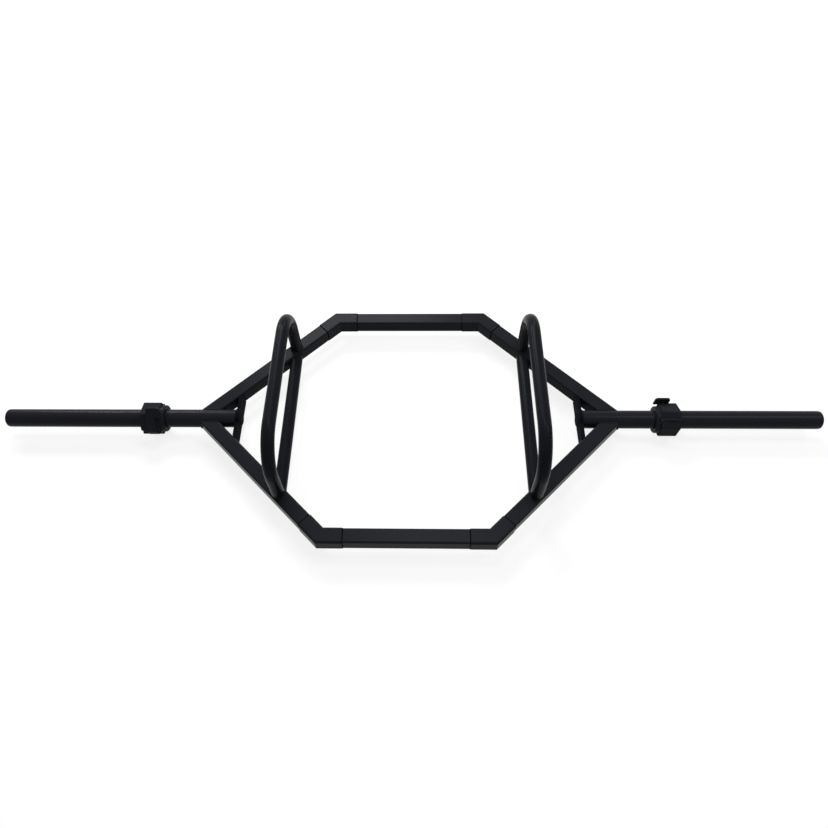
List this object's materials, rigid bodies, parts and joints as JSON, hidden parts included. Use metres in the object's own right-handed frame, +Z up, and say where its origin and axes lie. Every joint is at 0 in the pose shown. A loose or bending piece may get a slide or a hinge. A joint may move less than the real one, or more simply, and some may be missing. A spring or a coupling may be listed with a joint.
{
  "type": "hex trap bar",
  "caption": "Hexagonal trap bar of square tube with mitred corner elbows, low and raised handles, a plate sleeve at each end and a six-sided lever collar on each sleeve.",
  "frame": {"origin": "on the floor under the middle of the bar", "axes": "+X along the sleeves to the right, +Y to the rear, +Z up"},
  "size_m": [2.25, 0.748, 0.2661],
  "materials": {
    "frame_coat": "satin black powder coat",
    "handle_coat": "semi-gloss black powder coat",
    "sleeve_coat": "gloss black",
    "plug_plastic": "matt black",
    "collar_plastic": "satin black, finely textured",
    "pad_rubber": "matt black",
    "pin_steel": "plain steel"
  },
  "bodies": {
    "frame": {"front_rail": "frame_coat", "rear_rail": "frame_coat", "front_left_diagonal": "frame_coat", "front_left_elbow": "frame_coat", "rear_left_diagonal": "frame_coat", "rear_left_elbow": "frame_coat", "left_flush_handle": "handle_coat", "left_raised_handle": "handle_coat", "left_end_plate": "frame_coat", "left_sleeve": "sleeve_coat", "left_sleeve_spigot": "frame_coat", "left_sleeve_end_plug": "plug_plastic", "front_right_diagonal": "frame_coat", "front_right_elbow": "frame_coat", "rear_right_diagonal": "frame_coat", "rear_right_elbow": "frame_coat", "right_flush_handle": "handle_coat", "right_raised_handle": "handle_coat", "right_end_plate": "frame_coat", "right_sleeve": "sleeve_coat", "right_sleeve_spigot": "frame_coat", "right_sleeve_end_plug": "plug_plastic"},
    "left_collar": {"left_collar_base_jaw": "collar_plastic", "left_collar_base_pad": "pad_rubber", "left_collar_hinge_pin": "pin_steel", "left_collar_lever_pin": "pin_steel"},
    "left_jaw": {"left_collar_swing_jaw": "collar_plastic", "left_collar_swing_pad": "pad_rubber"},
    "left_lever": {"left_collar_lever": "collar_plastic"},
    "right_collar": {"right_collar_base_jaw": "collar_plastic", "right_collar_base_pad": "pad_rubber", "right_collar_hinge_pin": "pin_steel", "right_collar_lever_pin": "pin_steel"},
    "right_jaw": {"right_collar_swing_jaw": "collar_plastic", "right_collar_swing_pad": "pad_rubber"},
    "right_lever": {"right_collar_lever": "collar_plastic"}
  },
  "joints": [
    {"name": "left_collar_slide", "type": "slide", "parent": "frame", "child": "left_collar", "axis": [-1, 0, 0], "range_m": [-0.09, 0.38]},
    {"name": "left_jaw_hinge", "type": "hinge", "parent": "left_collar", "child": "left_jaw", "pos_m": [-0.7055, 0.03519, 0.0566], "axis": [-1, 0, 0], "range_deg": [0, 17]},
    {"name": "left_lever_pivot", "type": "hinge", "parent": "left_collar", "child": "left_lever", "pos_m": [-0.7055, -0.03662, 0.03327], "axis": [1, 0, 0], "range_deg": [0, 85]},
    {"name": "right_collar_slide", "type": "slide", "parent": "frame", "child": "right_collar", "axis": [1, 0, 0], "range_m": [-0.09, 0.38]},
    {"name": "right_jaw_hinge", "type": "hinge", "parent": "right_collar", "child": "right_jaw", "pos_m": [0.7055, -0.02069, 0.07584], "axis": [1, 0, 0], "range_deg": [0, 17]},
    {"name": "right_lever_pivot", "type": "hinge", "parent": "right_collar", "child": "right_lever", "pos_m": [0.7055, 0.02153, 0.01325], "axis": [-1, 0, 0], "range_deg": [0, 85]}
  ],
  "couplings": [
    {"joint": "left_jaw_hinge", "follows": "left_lever_pivot", "ratio": 0.2},
    {"joint": "right_jaw_hinge", "follows": "right_lever_pivot", "ratio": 0.2}
  ]
}
